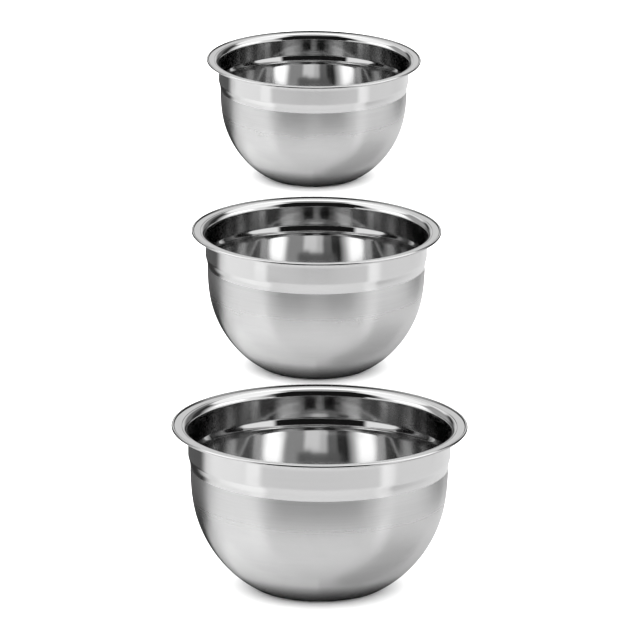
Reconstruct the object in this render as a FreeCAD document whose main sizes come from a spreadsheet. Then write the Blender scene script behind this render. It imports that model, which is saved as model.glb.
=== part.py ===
import FreeCAD, Part
import Sketcher
import math
import os

# Set of three stainless steel mixing bowls, large, medium and small, standing in a row on one flat surface.
# Each bowl is one blank of sheet steel: a flat base, a round belly, a steep wall, a shoulder where
# the wall steps out to a wider upper band, and a flat rim with a rolled edge that stands a little
# above it. Nothing is joined on.
# Millimetres and degrees, +Z up. The origin is the middle of the large bowl's base, on the surface
# it stands on.

doc = FreeCAD.newDocument("mixing_bowl_set")

# ---------------------------------------------------------------- driving dimensions
DIMENSIONS = {
    # the sheet, the same in all three bowls
    "sheet_gauge": 0.6,  # thickness of the sheet
    "roll_return": 1.0,  # how far the end of the sheet runs back under the rolled edge
    # the section of the large bowl, outer face
    "base_flat": 53.5,  # radius of the flat base
    "corner_round": 21.0,  # arc from the base into the belly
    "corner_turn": 30.0,  # slope of the outer face where the corner ends
    "belly_round": 115.5,  # arc of the belly
    "belly_turn": 82.0,  # slope of the outer face where the belly ends
    "wall_round": 212.0,  # arc of the steep wall, which ends upright
    "shoulder_foot": 32.0,  # round at the foot of the shoulder
    "shoulder_lean": 15.0,  # lean of the shoulder from upright
    "shoulder_run": 3.6,  # straight run of the shoulder
    "shoulder_brow": 8.0,  # round at the top of the shoulder
    "lip_round": 6.6,  # round from the upper band into the lip
    "lip_slope": 12.0,  # slope of the lip above level
    "lip_run": 0.5,  # straight run of the lip
    "crease_round": 2.0,  # round from the lip to the level rim
    "nook_round": 0.15,  # round in the corner between the rim's top face and the rolled edge
    "roll_rise": 75.0,  # how steeply the sheet climbs into the rolled edge
    "roll_round": 1.5,  # outer radius of the rolled edge
    "rim_radius": 141.0,  # outermost radius
    "rim_height": 158.6,  # height of the crown of the rolled edge
    # the three sizes, as shares of the large bowl
    "large_share": 1.0,
    "medium_share": 0.8656,
    "small_share": 0.759,
    # the row the bowls stand in
    "row_heading": 20.0,  # turn of the row from +Y towards +X
    "medium_along": 754.0,  # from the large bowl's middle to the medium bowl's
    "small_along": 1440.0,  # from the large bowl's middle to the small bowl's
}

sheet = doc.addObject("Spreadsheet::Sheet", "Dim")
for row, (alias, value) in enumerate(DIMENSIONS.items(), start=1):
    sheet.set("A%d" % row, alias)
    sheet.set("B%d" % row, repr(value))
    sheet.setAlias("B%d" % row, alias)
doc.recompute()


# ---------------------------------------------------------------- sizes that carry their formula
class Size:
    """A length, angle or ratio that knows its value and the formula that ties it to the sheet."""

    def __init__(self, value, text):
        self.value = value
        self.text = text

    def __add__(self, other):
        return Size(self.value + other.value, "(%s + %s)" % (self.text, other.text))

    def __sub__(self, other):
        return Size(self.value - other.value, "(%s - %s)" % (self.text, other.text))

    def __mul__(self, other):
        return Size(self.value * other.value, "%s * %s" % (self.text, other.text))


def size(alias):
    return Size(DIMENSIONS[alias], "Dim.%s" % alias)


def sine(angle):
    return Size(math.sin(math.radians(angle.value)), "sin(%s)" % angle.text)


def cosine(angle):
    return Size(math.cos(math.radians(angle.value)), "cos(%s)" % angle.text)


ZERO = Size(0.0, "0")
ONE = Size(1.0, "1")
MINUS_ONE = ZERO - ONE

# A heading is the direction the section runs in, as (share outwards, share upwards).
OUTWARD = (ONE, ZERO)
UPWARD = (ZERO, ONE)
DOWNWARD = (ZERO, MINUS_ONE)
INWARD = (MINUS_ONE, ZERO)

# Which way an arc turns as the section is walked.
LEFT, RIGHT = True, False


def slope(angle):
    """The heading that climbs outwards at an angle above level."""
    return cosine(angle), sine(angle)


def turn(radius, start, end, left):
    """The move (outwards, upwards) made by an arc that turns from one heading to another."""
    first, last = (start, end) if left else (end, start)
    return radius * (last[1] - first[1]), radius * (first[0] - last[0])


def straight(length, heading):
    """The move (outwards, upwards) made by a straight run."""
    return length * heading[0], length * heading[1]


def after(point, move):
    return point[0] + move[0], point[1] + move[1]


def before(point, move):
    return point[0] - move[0], point[1] - move[1]


# ---------------------------------------------------------------- the section of one bowl
def outer_face(share):
    """The outer face of the sheet, from the middle of the base to the cut end under the rolled edge.

    Each entry is (point, heading there, edge to the next point). A point is (radius, height).
    An edge is None for a line, or (radius, turn) for an arc.
    """
    scale, gauge = size(share), size("sheet_gauge")

    def scaled(alias):
        return size(alias) * scale

    corner_radius, belly_radius = scaled("corner_round"), scaled("belly_round")
    wall_radius = scaled("wall_round")
    foot_radius, brow_radius = scaled("shoulder_foot"), scaled("shoulder_brow")
    lip_radius, crease_radius = scaled("lip_round"), scaled("crease_round")
    roll_radius = scaled("roll_round")
    hollow_radius = roll_radius - gauge
    sink_radius = scaled("nook_round") + gauge

    corner, belly = slope(size("corner_turn")), slope(size("belly_turn"))
    lip, climb = slope(size("lip_slope")), slope(size("roll_rise"))
    lean = size("shoulder_lean")
    shoulder = (sine(lean), cosine(lean))

    # from the base up to the brow of the shoulder
    base_edge = (scaled("base_flat"), ZERO)
    corner_end = after(base_edge, turn(corner_radius, OUTWARD, corner, LEFT))
    belly_end = after(corner_end, turn(belly_radius, corner, belly, LEFT))
    wall_end = after(belly_end, turn(wall_radius, belly, UPWARD, LEFT))
    foot_end = after(wall_end, turn(foot_radius, UPWARD, shoulder, RIGHT))
    run_end = after(foot_end, straight(scaled("shoulder_run"), shoulder))
    brow_end = after(run_end, turn(brow_radius, shoulder, UPWARD, LEFT))

    # the hollow of the rolled edge, and where the level rim meets it
    roll_centre = (scaled("rim_radius") - roll_radius, scaled("rim_height") - roll_radius)
    hollow_start = (
        roll_centre[0] - hollow_radius * climb[1],
        roll_centre[1] + hollow_radius * climb[0],
    )
    hollow_side = (roll_centre[0] + hollow_radius, roll_centre[1])
    hollow_foot = (roll_centre[0], roll_centre[1] - hollow_radius)
    sheet_end = (hollow_foot[0] - size("roll_return"), hollow_foot[1])
    rim_end = before(hollow_start, turn(sink_radius, OUTWARD, climb, LEFT))

    # the lip: radii run on from the upper band, heights are taken down from the level rim
    lip_move = turn(lip_radius, UPWARD, lip, RIGHT)
    lip_line = straight(scaled("lip_run"), lip)
    crease_move = turn(crease_radius, lip, OUTWARD, RIGHT)
    rim_level = rim_end[1]
    crease_level = rim_level - crease_move[1]
    lip_level = crease_level - lip_line[1]
    band_end = (brow_end[0], lip_level - lip_move[1])
    lip_start = (band_end[0] + lip_move[0], lip_level)
    crease_start = (lip_start[0] + lip_line[0], crease_level)
    rim_start = (crease_start[0] + crease_move[0], rim_level)

    return [
        ((ZERO, ZERO), OUTWARD, None),
        (base_edge, OUTWARD, (corner_radius, LEFT)),
        (corner_end, corner, (belly_radius, LEFT)),
        (belly_end, belly, (wall_radius, LEFT)),
        (wall_end, UPWARD, (foot_radius, RIGHT)),
        (foot_end, shoulder, None),
        (run_end, shoulder, (brow_radius, LEFT)),
        (brow_end, UPWARD, None),
        (band_end, UPWARD, (lip_radius, RIGHT)),
        (lip_start, lip, None),
        (crease_start, lip, (crease_radius, RIGHT)),
        (rim_start, OUTWARD, None),
        (rim_end, OUTWARD, (sink_radius, LEFT)),
        (hollow_start, climb, (hollow_radius, RIGHT)),
        (hollow_side, DOWNWARD, (hollow_radius, RIGHT)),
        (hollow_foot, INWARD, None),
        (sheet_end, INWARD, None),
    ]


def section(share):
    """The closed outline of the sheet, as (point, edge to the next point).

    It runs along the outer face, across the cut end, and back one sheet thickness to the left
    of that face: over the rolled edge and down the inside of the bowl.
    """
    gauge = size("sheet_gauge")
    face = outer_face(share)
    outline = [(point, edge) for point, _, edge in face]
    for n in range(len(face) - 1, 0, -1):
        point, heading, _ = face[n]
        edge = face[n - 1][2]
        if edge is not None:
            radius, left = edge
            edge = (radius - gauge if left else radius + gauge, not left)
        offset = (point[0] - gauge * heading[1], point[1] + gauge * heading[0])
        outline.append((offset, edge))
    outline.append(((ZERO, gauge), None))
    return outline


def arc_between(start, end, radius, left):
    """The arc between two points, turning left or right by at most half a turn."""
    chord = end.sub(start)
    half = chord.Length / 2.0
    rise = math.sqrt(max(radius * radius - half * half, 0.0))
    side = FreeCAD.Vector(-chord.y, chord.x, 0).normalize()
    centre = start.add(end).multiply(0.5).add(side.multiply(rise if left else -rise))
    # a sketch arc always runs anticlockwise
    first, last = (start, end) if left else (end, start)
    first_angle = math.atan2(first.y - centre.y, first.x - centre.x)
    last_angle = math.atan2(last.y - centre.y, last.x - centre.x)
    if last_angle < first_angle:
        last_angle += 2.0 * math.pi
    circle = Part.Circle(centre, FreeCAD.Vector(0, 0, 1), radius)
    return Part.ArcOfCircle(circle, first_angle, last_angle)


def draw_section(sketch, outline):
    """Draws the outline and ties every point and arc radius to the sheet."""
    # Sketcher's own numbers for the ends of an edge and for the origin and axes
    START, END = 1, 2
    ORIGIN, ACROSS, UPRIGHT = -1, -1, -2

    points = [FreeCAD.Vector(radius.value, height.value, 0) for (radius, height), _ in outline]
    count = len(points)
    entries, exits = [], []  # which end of each edge the outline enters and leaves by
    for n, (_, edge) in enumerate(outline):
        start, end = points[n], points[(n + 1) % count]
        if edge is None:
            sketch.addGeometry(Part.LineSegment(start, end), False)
        else:
            radius, left = edge
            sketch.addGeometry(arc_between(start, end, radius.value, left), False)
        forward = edge is None or edge[1]
        entries.append((n, START if forward else END))
        exits.append((n, END if forward else START))
    for n in range(count):
        joint = exits[n] + entries[(n + 1) % count]
        sketch.addConstraint(Sketcher.Constraint("Coincident", *joint))

    bound = []

    def constrain(label, length, *parts):
        index = sketch.addConstraint(Sketcher.Constraint(*parts, length.value))
        sketch.renameConstraint(index, label)
        bound.append((label, length))

    for n, ((radius, height), _) in enumerate(outline):
        if radius is ZERO:
            sketch.addConstraint(Sketcher.Constraint("PointOnObject", *entries[n], UPRIGHT))
        else:
            constrain("radius_%02d" % n, radius, "DistanceX", ORIGIN, START, *entries[n])
        if height is ZERO:
            sketch.addConstraint(Sketcher.Constraint("PointOnObject", *entries[n], ACROSS))
        else:
            constrain("height_%02d" % n, height, "DistanceY", ORIGIN, START, *entries[n])
    for n, (_, edge) in enumerate(outline):
        if edge is not None:
            constrain("round_%02d" % n, edge[0], "Radius", n)
    for label, length in bound:
        sketch.setExpression("Constraints." + label, length.text)


# ---------------------------------------------------------------- the bowls
def bowl(name, share, along=None):
    """One bowl: its section on the body's own upright plane, turned once round the body's axis."""
    body = doc.addObject("PartDesign::Body", name)
    body.Label = name
    plane = [f for f in body.Origin.OriginFeatures if f.Role == "XZ_Plane"][0]
    sketch = body.newObject("Sketcher::SketchObject", name + "_section")
    sketch.AttachmentSupport = [(plane, "")]
    sketch.MapMode = "FlatFace"
    draw_section(sketch, section(share))
    doc.recompute()

    pressing = body.newObject("PartDesign::Revolution", name + "_pressing")
    pressing.Profile = sketch
    pressing.ReferenceAxis = (sketch, ["V_Axis"])
    pressing.Angle = 360.0
    body.Tip = pressing

    if along is not None:
        body.setExpression("Placement.Base.x", "Dim.%s * sin(Dim.row_heading)" % along)
        body.setExpression("Placement.Base.y", "Dim.%s * cos(Dim.row_heading)" % along)
    doc.recompute()
    return body


# in the order they stand
bowls = [
    bowl("large_bowl", "large_share"),
    bowl("medium_bowl", "medium_share", "medium_along"),
    bowl("small_bowl", "small_share", "small_along"),
]
doc.recompute()

# ---------------------------------------------------------------- checks, then export
for obj in doc.Objects:
    if "Invalid" in obj.State or "Error" in obj.State:
        raise SystemExit("%s did not recompute: %s" % (obj.Name, obj.State))
    if obj.TypeId == "Sketcher::SketchObject" and obj.solve() != 0:
        raise SystemExit("%s does not solve" % obj.Name)
for body in bowls:
    shape = body.Shape
    if shape.isNull() or not shape.isValid() or len(shape.Solids) != 1:
        raise SystemExit("%s is not one valid solid" % body.Label)

os.makedirs("parts", exist_ok=True)
for body in bowls:
    body.Shape.exportStep("parts/%s.step" % body.Label)
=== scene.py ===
# Three stainless steel bowls, mouths up, on a pale floor at z = 0. Metres, +Z up. Each bowl is a
# sheet turned about the upright line through the middle of its CAD piece. The camera looks
# along +Y, turned a little towards +X and tipped down.
import math

import bpy
from mathutils import Matrix, Vector


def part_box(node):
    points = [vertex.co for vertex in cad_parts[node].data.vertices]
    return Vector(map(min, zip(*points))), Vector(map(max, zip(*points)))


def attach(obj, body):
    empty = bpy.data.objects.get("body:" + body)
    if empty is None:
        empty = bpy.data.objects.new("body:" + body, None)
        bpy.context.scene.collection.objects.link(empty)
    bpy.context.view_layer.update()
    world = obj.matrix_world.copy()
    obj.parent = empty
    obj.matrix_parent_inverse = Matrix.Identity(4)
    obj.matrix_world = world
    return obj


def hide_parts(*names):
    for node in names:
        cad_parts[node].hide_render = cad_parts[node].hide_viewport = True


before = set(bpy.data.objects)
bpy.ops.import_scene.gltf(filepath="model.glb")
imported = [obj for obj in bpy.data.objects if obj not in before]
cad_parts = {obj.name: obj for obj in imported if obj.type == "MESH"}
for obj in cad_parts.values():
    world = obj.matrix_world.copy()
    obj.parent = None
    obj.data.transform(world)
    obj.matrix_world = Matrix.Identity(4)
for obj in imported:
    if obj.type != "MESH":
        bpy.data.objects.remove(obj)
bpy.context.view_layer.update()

BOWLS = ["large_bowl", "medium_bowl", "small_bowl"]
GAUGE = 0.0006  # thickness of the sheet, the same on every bowl
AROUND = 320  # facets round a bowl

# The section is given in mm on the large bowl and scales with the rim radius.
LARGE_RIM = 0.141  # rim radius of the large bowl, metres
# Outside of the sheet from the middle of the base up, as pieces of
# (slope at the end in degrees or None if straight, bend radius or straight length, steps)
WALL = [
    (None, 53.5, 12),  # flat base
    (30, 21.0, 14), (82, 115.5, 52), (90, 212.0, 14),  # rounded side
    (86.5, 32.0, 4),  # start of the outward turn
]
SHOULDER = [(75, 32.0, 12), (None, 3.6, 4), (90, 8.0, 10)]  # outward step below the band
LIP_RADIUS, LIP_TILT = 6.6, 12  # bend from the band to the flange, and its slope at the end
GROOVE_WIDTH, GROOVE_RISE, GROOVE_DIP = 1.3, 0.15, 0.25  # shallow groove inside the flange
GROOVE_STEPS = 12
CREASE_RADIUS = 0.15  # upper face, where the flange turns up into the rolled edge
ROLL_RADIUS, ROLL_START, ROLL_END = 1.5, 75, -205  # outer radius and slopes of the rolled edge
CREASE_FROM, CREASE_SPAN = 8, 30  # slope where the crease mask starts, and degrees to full


# ------------------------------------------------------------------ the bowl's section
def bend(path, stop, radius, steps):
    """Follows an arc to slope stop (degrees). Each entry of path is (r, z, slope)."""
    r, z, start = path[-1]
    side = 1.0 if stop > start else -1.0
    first = math.radians(start)
    for i in range(1, steps + 1):
        angle = math.radians(start + (stop - start) * i / steps)
        path.append((r + side * radius * (math.sin(angle) - math.sin(first)),
                     z + side * radius * (math.cos(first) - math.cos(angle)),
                     math.degrees(angle)))


def straight(path, length, steps):
    r, z, slope = path[-1]
    angle = math.radians(slope)
    for i in range(1, steps + 1):
        done = length * i / steps
        path.append((r + done * math.cos(angle), z + done * math.sin(angle), slope))


def follow(path, pieces, mm):
    for stop, size, steps in pieces:
        if stop is None:
            straight(path, size * mm, steps)
        else:
            bend(path, stop, size * mm, steps)


def groove(path, mm):
    """A dip that ends level, GROOVE_RISE above where it starts."""
    width, rise, dip = GROOVE_WIDTH * mm, GROOVE_RISE * mm, GROOVE_DIP * mm
    r = path[-1][0]

    def add(flange_z):
        base_z = flange_z - rise
        for i in range(1, GROOVE_STEPS):
            t = i / GROOVE_STEPS
            climb = rise * 2 * t - dip * math.pi * math.sin(2 * math.pi * t)
            path.append((r + width * t,
                         base_z + rise * t * t - dip * math.sin(math.pi * t) ** 2,
                         math.degrees(math.atan2(climb, width))))
        path.append((r + width, flange_z, 0.0))

    return add


def section(rim, top):
    """The sheet's outside as [(r, z, slope)] from the middle of the base to the end of the rolled
    edge, then the places along it where the band, the rim and the crease begin."""
    mm = 0.001 * rim / LARGE_RIM
    path = [(0.0, 0.0, 0.0)]
    follow(path, WALL, mm)
    band_start = len(path) - 1
    follow(path, SHOULDER, mm)

    # the rolled edge is laid out back from the rim, and the flange lies just under its crown
    roll = ROLL_RADIUS * mm - GAUGE
    crease = CREASE_RADIUS * mm + GAUGE
    rise = math.radians(ROLL_START)
    flange_r = rim - ROLL_RADIUS * mm - (roll + crease) * math.sin(rise)
    flange_z = (top - ROLL_RADIUS * mm + roll * math.cos(rise)
                - crease * (1 - math.cos(rise)))

    lip = LIP_RADIUS * mm
    lip_top = flange_z - GROOVE_RISE * mm
    straight(path, lip_top - lip * math.cos(math.radians(LIP_TILT)) - path[-1][1], steps=10)
    bend(path, 45, lip, steps=10)
    rim_start = len(path) - 1
    bend(path, LIP_TILT, lip, steps=8)
    groove(path, mm)(flange_z)
    straight(path, flange_r - path[-1][0], steps=8)
    crease_start = len(path) - 1
    bend(path, ROLL_START, crease, steps=8)
    bend(path, ROLL_END, roll, steps=40)
    return path, band_start, rim_start, crease_start


def closed_section(rim, top):
    """Out along the outside and back along the inside: points (r, z), the depth of each in the
    crease behind the rolled edge (0 to 1), and the finish between each point and the next."""
    path, band_start, rim_start, crease_start = section(rim, top)
    last = len(path) - 1
    points = [(r, z) for r, z, _ in path]
    for r, z, slope in reversed(path):
        angle = math.radians(slope)
        points.append((r - GAUGE * math.sin(angle), z + GAUGE * math.cos(angle)))
    depths = [min(1.0, max(0.0, (slope - CREASE_FROM) / CREASE_SPAN)) if i >= crease_start else 0.0
              for i, (_, _, slope) in enumerate(path)]
    finishes = ["body" if i < band_start else "band" if i < rim_start else "rim"
                for i in range(last)]
    finishes.append("rim")  # the cut end of the sheet
    finishes += ["inside" if i <= rim_start else "rim" for i in range(last, 0, -1)]
    return points, depths + depths[::-1], finishes


def ring_faces(ring, following):
    """Faces between two neighbouring rings; a ring of one vertex lies on the axis."""
    for i in range(AROUND):
        j = (i + 1) % AROUND
        if len(ring) == 1:
            yield ring[0], following[j], following[i]
        elif len(following) == 1:
            yield ring[i], ring[j], following[0]
        else:
            yield ring[i], ring[j], following[j], following[i]


def build_bowl(bowl, materials):
    """Turns the section about the bowl's axis, with attributes for the steel: brush (direction
    from the axis, and mm along the section), share (of the height) and crease."""
    lo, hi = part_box(bowl)
    middle_x, middle_y = (lo.x + hi.x) / 2, (lo.y + hi.y) / 2
    rim = ((hi.x - lo.x) + (hi.y - lo.y)) / 4
    height = hi.z - lo.z
    points, depths, finishes = closed_section(rim, height)
    travel = [0.0]
    for (r0, z0), (r1, z1) in zip(points, points[1:]):
        travel.append(travel[-1] + 1000 * math.hypot(r1 - r0, z1 - z0))
    brush_shift = 37.0 * BOWLS.index(bowl)  # gives each bowl its own brushing

    angles = [2 * math.pi * i / AROUND for i in range(AROUND)]
    circle = [(math.cos(angle), math.sin(angle)) for angle in angles]
    verts, rings, brush, share, crease = [], [], [], [], []
    for (r, z), length, depth in zip(points, travel, depths):
        spokes = [(0.0, 0.0)] if r < 1e-9 else circle
        rings.append(range(len(verts), len(verts) + len(spokes)))
        for x, y in spokes:
            verts.append((middle_x + r * x, middle_y + r * y, lo.z + z))
            brush += (x, y, length + brush_shift)
        share += [z / height] * len(spokes)
        crease += [depth] * len(spokes)
    faces, slots = [], []
    slot_order = list(materials)
    for ring, following, finish in zip(rings, rings[1:], finishes):
        faces += ring_faces(ring, following)
        slots += [slot_order.index(finish)] * AROUND

    name = "steel_" + bowl
    mesh = bpy.data.meshes.new(name)
    mesh.from_pydata(verts, [], faces)
    mesh.polygons.foreach_set("material_index", slots)
    mesh.polygons.foreach_set("use_smooth", [True] * len(faces))
    for key, kind, field, values in (("brush", "FLOAT_VECTOR", "vector", brush),
                                     ("share", "FLOAT", "value", share),
                                     ("crease", "FLOAT", "value", crease)):
        mesh.attributes.new(key, kind, "POINT").data.foreach_set(field, values)
    for material in materials.values():
        mesh.materials.append(material)
    mesh.update()
    obj = bpy.data.objects.new(name, mesh)
    bpy.context.scene.collection.objects.link(obj)
    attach(obj, bowl)
    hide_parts(bowl)


# ------------------------------------------------------------------ shader nodes
class Graph:
    """Adds nodes to an emptied node tree. An input takes a socket to link or a value to set."""

    def __init__(self, tree):
        self.tree = tree
        tree.nodes.clear()

    def node(self, kind, inputs=None, **settings):
        made = self.tree.nodes.new("ShaderNode" + kind)
        for key, value in settings.items():
            setattr(made, key, value)
        for key, value in (inputs or {}).items():
            if isinstance(value, bpy.types.NodeSocket):
                self.tree.links.new(value, made.inputs[key])
            else:
                made.inputs[key].default_value = value
        return made

    def maths(self, operation, *values):
        return self.node("Math", dict(enumerate(values)), operation=operation).outputs[0]

    def ramp(self, value, start, stop, kind="SMOOTHSTEP"):
        """0 to 1 as value goes from start to stop, which may be the lower of the two."""
        falling = start > stop
        return self.node("MapRange", {
            "Value": value, "From Min": min(start, stop), "From Max": max(start, stop),
            "To Min": float(falling), "To Max": float(not falling),
        }, interpolation_type=kind).outputs["Result"]

    def mix(self, factor, no, yes):
        return self.node("Mix", {0: factor, 2: no, 3: yes}, data_type="FLOAT").outputs[0]


def new_material(name):
    material = bpy.data.materials.new(name)
    material.use_nodes = True
    return material, Graph(material.node_tree)


# ------------------------------------------------------------------ steel
BROAD_LEVEL = 1.2  # brightness of the broad bands, against the hairlines
PATCH_DARKENS = 0.03  # loss of brightness in handling marks
SCRATCH_DARKENS = 0.5  # scratches, against the hairlines: brightness, roughness and depth
SCRATCH_ROUGHENS = 0.25
SCRATCH_DEPTH = 0.6
SMOOTHEST = 0.015  # least roughness


def height_curve(graph, stops):
    """A value that follows {share of the bowl's height: value}."""
    share = graph.node("Attribute", attribute_name="share").outputs["Fac"]
    curve = graph.node("FloatCurve", {"Value": share})
    points = curve.mapping.curves[0].points
    stops = sorted(stops.items())
    for at, value in stops[1:-1]:
        points.new(at, value)
    points[0].location = stops[0]
    points[-1].location = stops[-1]
    curve.mapping.update()
    return curve.outputs[0]


def steel(name, grey, rough, aniso, lines, rough_lines, relief, smudge,
          wave=0.0, deep_rough=None, deep_shade_level=1.0, crease_shade=0.0):
    """Stainless steel worked on a lathe. rough: the roughness, or {share of the height:
    roughness}. lines, rough_lines: how much the fine turned lines vary in brightness and in
    roughness, relief: their depth in metres, smudge: extra roughness in faint handling marks,
    wave: depth in metres of the slow unevenness of the sheet, deep_rough: roughness of steel
    seen in steel seen in steel, where the unevenness of each surface has added up,
    deep_shade_level: painted shade, the brightness the colour there is cut to, crease_shade:
    painted shade, how much darker the colour is made in the crease behind the rolled edge."""
    material, graph = new_material(name)
    maths = graph.maths
    brush = graph.node("Attribute", attribute_name="brush").outputs["Vector"]
    place = graph.node("TexCoord").outputs["Object"]

    def streaks(around, along, detail, seed):
        spot = graph.node("VectorMath", {
            0: brush, 1: (around, around, along), 2: (seed, 2 * seed, 0),
        }, operation="MULTIPLY_ADD").outputs[0]
        noise = graph.node("TexNoise", {
            "Vector": spot, "Scale": 1.0, "Detail": detail, "Roughness": 0.65})
        return maths("SUBTRACT", noise.outputs["Fac"], 0.5)

    # hairlines under half a millimetre apart, bands of heavier brushing, single scratches
    fine = streaks(around=2.4, along=2.6, detail=3.0, seed=3.0)
    broad = streaks(around=0.9, along=0.42, detail=2.0, seed=11.0)
    hair = streaks(around=7.0, along=9.0, detail=1.0, seed=23.0)
    scratch = graph.ramp(hair, start=0.17, stop=0.24, kind="LINEAR")
    marks = graph.node("TexNoise", {
        "Vector": place, "Scale": 26.0, "Detail": 4.0, "Roughness": 0.55})
    patch = graph.ramp(marks.outputs["Fac"], start=0.55, stop=0.72)

    level = maths("ADD", 1.0, maths("ADD", maths("MULTIPLY", fine, lines),
                                    maths("MULTIPLY", broad, BROAD_LEVEL * lines)))
    level = maths("SUBTRACT", level, maths("MULTIPLY", patch, PATCH_DARKENS))
    level = maths("SUBTRACT", level, maths("MULTIPLY", scratch, SCRATCH_DARKENS * lines))
    # painted shade: the colour is made darker in the crease behind the rolled edge
    if crease_shade:
        crease = graph.node("Attribute", attribute_name="crease").outputs["Fac"]
        crease_shading = maths("SUBTRACT", 1.0, maths("MULTIPLY", crease, crease_shade))
        level = maths("MULTIPLY", level, crease_shading)

    uneven = maths("ADD", maths("MULTIPLY", fine, rough_lines),
                   maths("MULTIPLY", broad, rough_lines))
    uneven = maths("ADD", uneven, maths("MULTIPLY", patch, smudge))
    uneven = maths("ADD", uneven, maths("MULTIPLY", scratch, SCRATCH_ROUGHENS * rough_lines))
    base_rough = height_curve(graph, rough) if isinstance(rough, dict) else rough
    roughness = maths("MAXIMUM", maths("ADD", uneven, base_rough), SMOOTHEST)
    # painted shade: steel seen in steel seen in steel gets a darker colour, besides the added
    # roughness
    if deep_rough is not None:
        mirrors = graph.node("LightPath").outputs["Glossy Depth"]
        again = maths("GREATER_THAN", mirrors, 1.5)
        roughness = maths("ADD", roughness, maths("MULTIPLY", again, deep_rough - rough))
        deep_shading = maths("ADD", 1.0, maths("MULTIPLY", again, deep_shade_level - 1.0))
        level = maths("MULTIPLY", level, deep_shading)
    colour = graph.node("VectorMath", {0: (grey, grey, grey), "Scale": level}, operation="SCALE")

    height = maths("ADD", maths("MULTIPLY", fine, relief),
                   maths("MULTIPLY", scratch, -SCRATCH_DEPTH * relief))
    if wave:
        slow = streaks(around=5.5, along=0.028, detail=1.0, seed=31.0)
        height = maths("ADD", height, maths("MULTIPLY", slow, wave))
    bump = graph.node("Bump", {"Strength": 1.0, "Distance": 1.0, "Height": height})
    tangent = graph.node("Tangent", direction_type="RADIAL", axis="Z")
    surface = graph.node("BsdfPrincipled", {
        "Base Color": colour.outputs[0], "Metallic": 1.0, "Roughness": roughness,
        "Normal": bump.outputs[0], "Anisotropic": aniso, "Anisotropic Rotation": 0.25,
        "Tangent": tangent.outputs[0]})
    graph.node("OutputMaterial", {0: surface.outputs[0]})
    return material


# in the order of the bowls' material slots
MATERIALS = {
    "body": steel("satin_steel", grey=0.80,
                  rough={0.0: 0.14, 0.2: 0.17, 0.5: 0.24, 0.68: 0.36, 1.0: 0.36}, aniso=0.95,
                  lines=0.10, rough_lines=0.05, relief=2e-6, smudge=0.03),
    "band": steel("band_steel", grey=0.80, rough=0.10, aniso=0.95,
                  lines=0.05, rough_lines=0.03, relief=8e-7, smudge=0.02),
    "inside": steel("polished_steel", grey=0.72, rough=0.045, aniso=0.75,
                    lines=0.03, rough_lines=0.015, relief=4e-7, smudge=0.01,
                    wave=1.5e-5, deep_rough=0.22, deep_shade_level=0.6),
    "rim": steel("rim_steel", grey=0.68, rough=0.07, aniso=0.6,
                 lines=0.06, rough_lines=0.03, relief=4e-7, smudge=0.02, crease_shade=0.7),
}
for bowl_name in BOWLS:
    build_bowl(bowl_name, MATERIALS)

# ------------------------------------------------------------------ camera
AZIMUTH = math.radians(-20.328)  # turn of the view from +Y, towards +X when negative
ELEVATION = math.radians(16.0)  # how far the view tips down
CAMERA_ROLL = math.radians(0.397)  # lifts the camera's right side
DISTANCE = 27.928
# the view's axis passes this far right of and above the middle of the large bowl's base
AIM_RIGHT, AIM_UP = 0.00146622, 0.251999422


def build_camera():
    lo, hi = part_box("large_bowl")
    foot = Vector(((lo.x + hi.x) / 2, (lo.y + hi.y) / 2, lo.z))
    ahead = Vector((-math.sin(AZIMUTH) * math.cos(ELEVATION),
                    math.cos(AZIMUTH) * math.cos(ELEVATION), -math.sin(ELEVATION)))
    level = Vector((math.cos(AZIMUTH), math.sin(AZIMUTH), 0))
    above = level.cross(ahead)
    right = level * math.cos(CAMERA_ROLL) + above * math.sin(CAMERA_ROLL)
    up = -level * math.sin(CAMERA_ROLL) + above * math.cos(CAMERA_ROLL)
    place = foot - ahead * DISTANCE + right * AIM_RIGHT + up * AIM_UP
    data = bpy.data.cameras.new("camera")
    data.lens = 1650.0
    data.sensor_width = 36.0
    data.clip_start = 1.0
    data.clip_end = 200.0
    camera = bpy.data.objects.new("camera", data)
    bpy.context.scene.collection.objects.link(camera)
    turn = Matrix((right, up, -ahead)).transposed().to_4x4()
    camera.matrix_world = Matrix.Translation(place) @ turn
    bpy.context.scene.camera = camera


build_camera()

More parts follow.
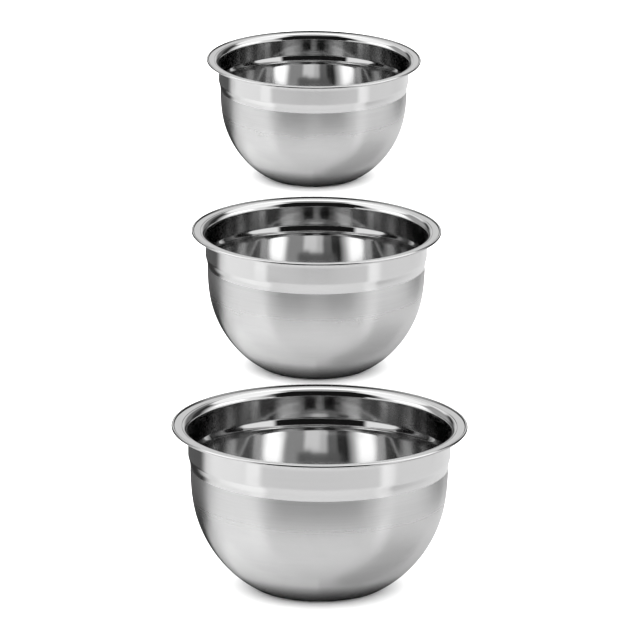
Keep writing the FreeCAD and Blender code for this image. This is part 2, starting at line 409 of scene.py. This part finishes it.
# ------------------------------------------------------------------ floor and light
# The studio the steel mirrors. Bearings are in degrees from the camera's side: 0 is behind the
# camera, 90 is to its right and 180 is behind the bowls. Heights are degrees above level. Each
# entry is laid over those before it:
# name: (bearing of the middle, half width, softness, lowest, highest, softness, brightness),
# and for an entry that only shows in a mirror seen in a mirror, the number of mirrors
STUDIO = {
    # Entries below level also set the floor's colour as the steel sees it, as painted light.
    "floor": (0, 180, 1, -90, -13.5, 1.5, 0.84),
    "floor_near": (0, 180, 1, -82, -33, 8, 0.88),
    "floor_low": (0, 180, 1, -90, -50, 8, 1.08),
    "floor_near_left": (-84, 27, 5, -82, -33, 8, 1.20),
    "floor_near_far_left": (-146, 36, 8, -90, -36, 5, 1.38),
    "floor_near_right": (105, 32, 6, -82, -33, 8, 0.64),
    "floor_peak_left": (-61, 8, 4, -36, -6, 6, 1.04),
    "floor_peak_right": (64, 8, 4, -36, -6, 6, 1.02),
    "floor_peak_near_right": (68, 8, 4, -75, -33, 6, 1.00),
    "floor_left": (-90, 22, 6, -33, -11, 4, 0.97),
    "floor_right": (90, 20, 8, -33, -11, 4, 0.80),
    "floor_right_back": (160, 18, 6, -30, -8, 4, 0.85),
    "floor_gap_left": (-150, 25, 9, -27, 12, 3, 0.04),
    "floor_gap_left_top": (-150, 25, 9, -18.5, 12, 1.5, 0.11),
    "overhead_left": (-122, 58, 8, 38, 74, 3, 1.30),
    "overhead_right": (122, 66, 8, 38, 74, 3, 1.30),
    "overhead_back": (180, 16, 5, 38, 62, 3, 2.00),
    "ceiling": (0, 180, 1, 74, 92, 4, 0.50),
    "panel_left": (-90, 30, 12, -2, 40, 4, 1.05),
    "panel_left_foot": (-68, 27, 3, 2, 16, 3, 1.00),
    "panel_left_foot_deep": (-68, 24, 3, 2, 14, 3, 0.62, 2),
    "strip_left": (-91, 17, 9, 17, 33, 5, 2.10),
    "panel_right": (85, 35, 12, -2, 40, 4, 0.95),
    "panel_right_foot": (68, 28, 3, 2, 16, 3, 1.00),
    "panel_right_foot_deep": (68, 24, 3, 2, 14, 3, 0.66, 2),
    "strip_right": (90, 17, 9, 17, 33, 5, 2.00),
    "wall_left_back": (-134, 18, 8, 6, 38, 4, 0.42),
    "wall_right_back": (152, 14, 8, 6, 38, 4, 0.20),
    "flag_right_back": (139, 7, 5, 6, 38, 4, 0.04),
    "backdrop": (180, 15, 6, 8, 40, 3, 0.78),
    "backdrop_head": (-166, 15, 6, 25, 42, 3, 1.05),
    "backdrop_foot": (180, 40, 8, 0, 23.4, 0.7, 0.16, 2),
    "glow_front": (0, 10, 5, 11, 36, 2, 0.90, 3),
    "glow_back": (180, 11, 3, 19, 29, 3, 2.20, 3),
}
ROOM = 0.01  # brightness of everything else in the room
FILL = 3.0  # soft light on the floor
FLOOR_HALF = 12.0
FLOOR_TONE = 0.9  # the floor as the camera sees it


def studio(graph, direction):
    """Adds nodes that give the brightness of the studio in a direction."""
    maths, ramp = graph.maths, graph.ramp
    turned = graph.node("VectorRotate", {"Angle": -AZIMUTH, "Vector": direction},
                        rotation_type="Z_AXIS").outputs[0]
    x, y, z = graph.node("SeparateXYZ", {0: turned}).outputs
    bearing = maths("DEGREES", maths("ARCTAN2", x, maths("MULTIPLY", y, -1.0)))
    height = maths("DEGREES", maths("ARCSINE", z))
    brightness = ROOM
    mirrors = graph.node("LightPath").outputs["Glossy Depth"]
    for middle, half, soft, low, high, soft_up, value, *after in STUDIO.values():
        masks = []
        if after:
            masks.append(maths("GREATER_THAN", mirrors, after[0] - 0.5))
        if half < 180:
            shifted = maths("ADD", bearing, 180.0 - middle)
            wrapped = maths("FLOORED_MODULO", shifted, 360.0)
            off = maths("ABSOLUTE", maths("SUBTRACT", wrapped, 180.0))
            masks.append(ramp(off, half + soft, half - soft))
        if low > -89:
            masks.append(ramp(height, low - soft_up, low + soft_up))
        if high < 89:
            masks.append(ramp(height, high + soft_up, high - soft_up))
        mask = masks[0]
        for other in masks[1:]:
            mask = maths("MULTIPLY", mask, other)
        brightness = graph.mix(mask, brightness, value)
    return brightness


def build_world():
    """White to the camera, FILL to the floor and the studio to the steel."""
    world = bpy.data.worlds.new("studio")
    bpy.context.scene.world = world
    world.use_nodes = True
    world.cycles.sampling_method = "NONE"
    graph = Graph(world.node_tree)
    coords = graph.node("TexCoord")
    seen = graph.node("LightPath")

    def glow(strength):
        return graph.node("Background", {
            "Color": (1, 1, 1, 1), "Strength": strength}).outputs[0]

    def choose(flag, no, yes):
        return graph.node("MixShader", {0: seen.outputs[flag], 1: no, 2: yes}).outputs[0]

    mirrored = glow(studio(graph, coords.outputs["Generated"]))
    unseen = choose("Is Diffuse Ray", mirrored, glow(FILL))
    sky = choose("Is Camera Ray", unseen, glow(1.0))
    graph.node("OutputWorld", {0: sky})


def floor_material():
    """Plain and pale to the camera. To rays from the steel its colour is painted light and shade:
    the studio's brightness in each direction, with painted contact shade close under the bowls.
    """
    material, graph = new_material("pale_floor")
    incoming = graph.node("NewGeometry").outputs["Incoming"]
    away = graph.node("VectorMath", {0: incoming, "Scale": -1.0}, operation="SCALE")
    # painted light: to rays from the steel the floor's colour is the studio's brightness in that
    # direction
    painted_studio_light = graph.maths("DIVIDE", studio(graph, away.outputs[0]), FILL)
    glossy = graph.node("LightPath").outputs["Is Glossy Ray"]
    # painted contact shade: ambient occlusion darkens that colour close under the bowls, on top of
    # the real shade from the blocked fill light
    contact_ao = graph.node("AmbientOcclusion", {"Distance": 0.015}, samples=4)
    painted_contact_shade = graph.maths("MULTIPLY", painted_studio_light, contact_ao.outputs["AO"])
    paint = graph.node("BsdfDiffuse", {"Color": graph.mix(glossy, FLOOR_TONE, painted_contact_shade)})
    graph.node("OutputMaterial", {0: paint.outputs[0]})
    return material


def build_floor():
    s = FLOOR_HALF
    mesh = bpy.data.meshes.new("floor")
    mesh.from_pydata([(-s, -s, 0), (s, -s, 0), (s, s, 0), (-s, s, 0)], [], [(0, 1, 2, 3)])
    floor = bpy.data.objects.new("floor", mesh)
    bpy.context.scene.collection.objects.link(floor)
    mesh.materials.append(floor_material())


build_world()
build_floor()

bpy.context.scene.view_settings.view_transform = "Standard"
bpy.context.scene.view_settings.look = "None"
